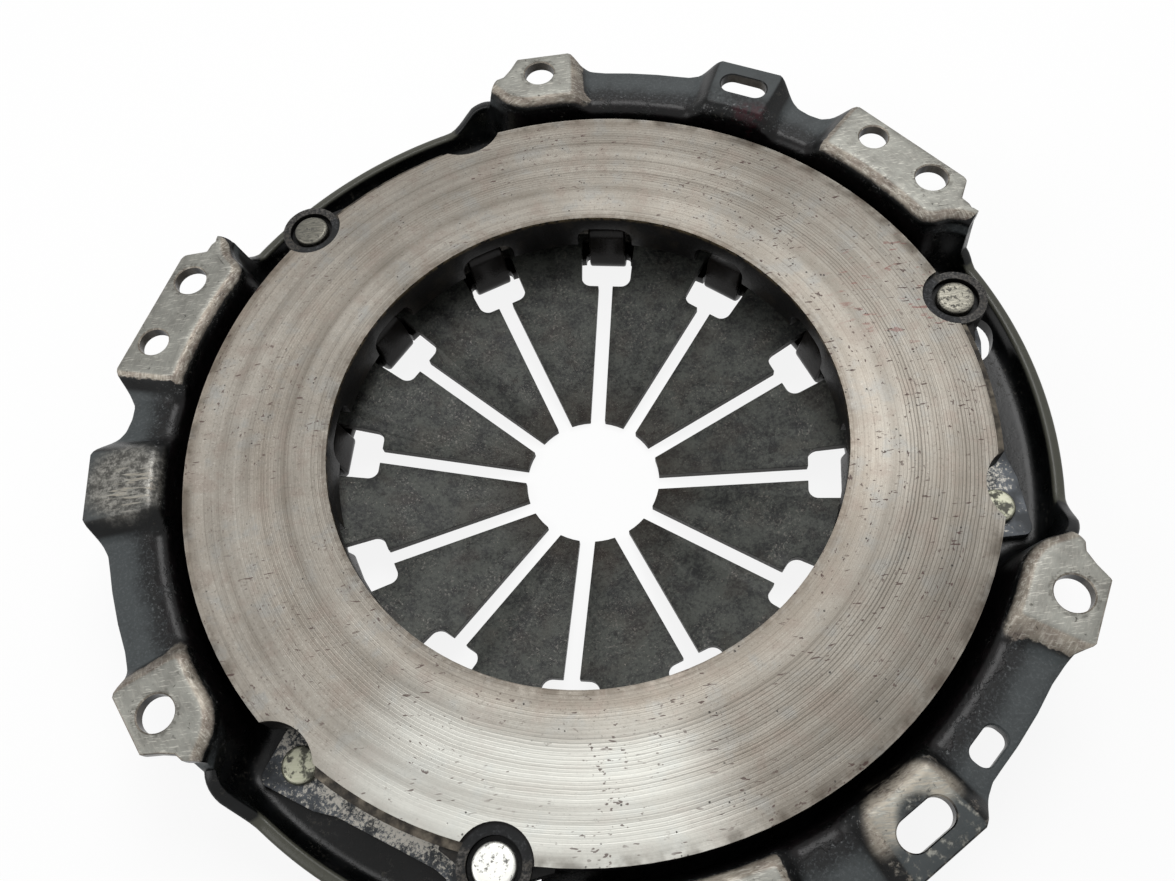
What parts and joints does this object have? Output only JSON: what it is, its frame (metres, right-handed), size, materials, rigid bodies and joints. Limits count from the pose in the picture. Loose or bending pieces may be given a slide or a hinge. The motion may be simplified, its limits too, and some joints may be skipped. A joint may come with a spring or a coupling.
{
  "type": "clutch pressure plate",
  "caption": "Clutch cover assembly: a pressed steel cover carrying a flat friction ring on leaf straps, clamped by a slotted diaphragm spring.",
  "frame": {"origin": "centre of the bolt circle, on the plane of the feet that bolt to the flywheel", "axes": "+Z along the clutch axis towards the flywheel, +Y through a foot with one bolt hole"},
  "size_m": [0.2511, 0.2572, 0.04],
  "materials": {
    "cover": "gloss black paint, worn and oily",
    "friction_plate": "machined face with fine rings",
    "diaphragm": "shot blasted and darkened",
    "fulcrum_wire": "drawn wire",
    "strap": "blued spring steel",
    "rivet": "bare, dulled"
  },
  "bodies": {
    "cover": {"cover": "cover", "diaphragm_spring": "diaphragm", "fulcrum_ring_upper": "fulcrum_wire", "fulcrum_ring_lower": "fulcrum_wire", "strap_a_leaf_1": "strap", "strap_a_leaf_2": "strap", "strap_a_leaf_3": "strap", "strap_b_leaf_1": "strap", "strap_b_leaf_2": "strap", "strap_b_leaf_3": "strap", "strap_c_leaf_1": "strap", "strap_c_leaf_2": "strap", "strap_c_leaf_3": "strap", "cover_rivet_a": "rivet", "cover_rivet_b": "rivet", "cover_rivet_c": "rivet"},
    "pressure_plate": {"pressure_plate": "friction_plate", "lug_rivet_a": "rivet", "lug_rivet_b": "rivet", "lug_rivet_c": "rivet"}
  },
  "joints": [
    {"name": "plate_lift", "type": "slide", "parent": "cover", "child": "pressure_plate", "axis": [0, 0, 1], "range_m": [-0.005, 0], "stiffness_N_per_m": 30000, "springref_m": 0.003, "deforming": ["diaphragm_spring", "strap_a_leaf_1", "strap_a_leaf_2", "strap_a_leaf_3", "strap_b_leaf_1", "strap_b_leaf_2", "strap_b_leaf_3", "strap_c_leaf_1", "strap_c_leaf_2", "strap_c_leaf_3"]}
  ]
}
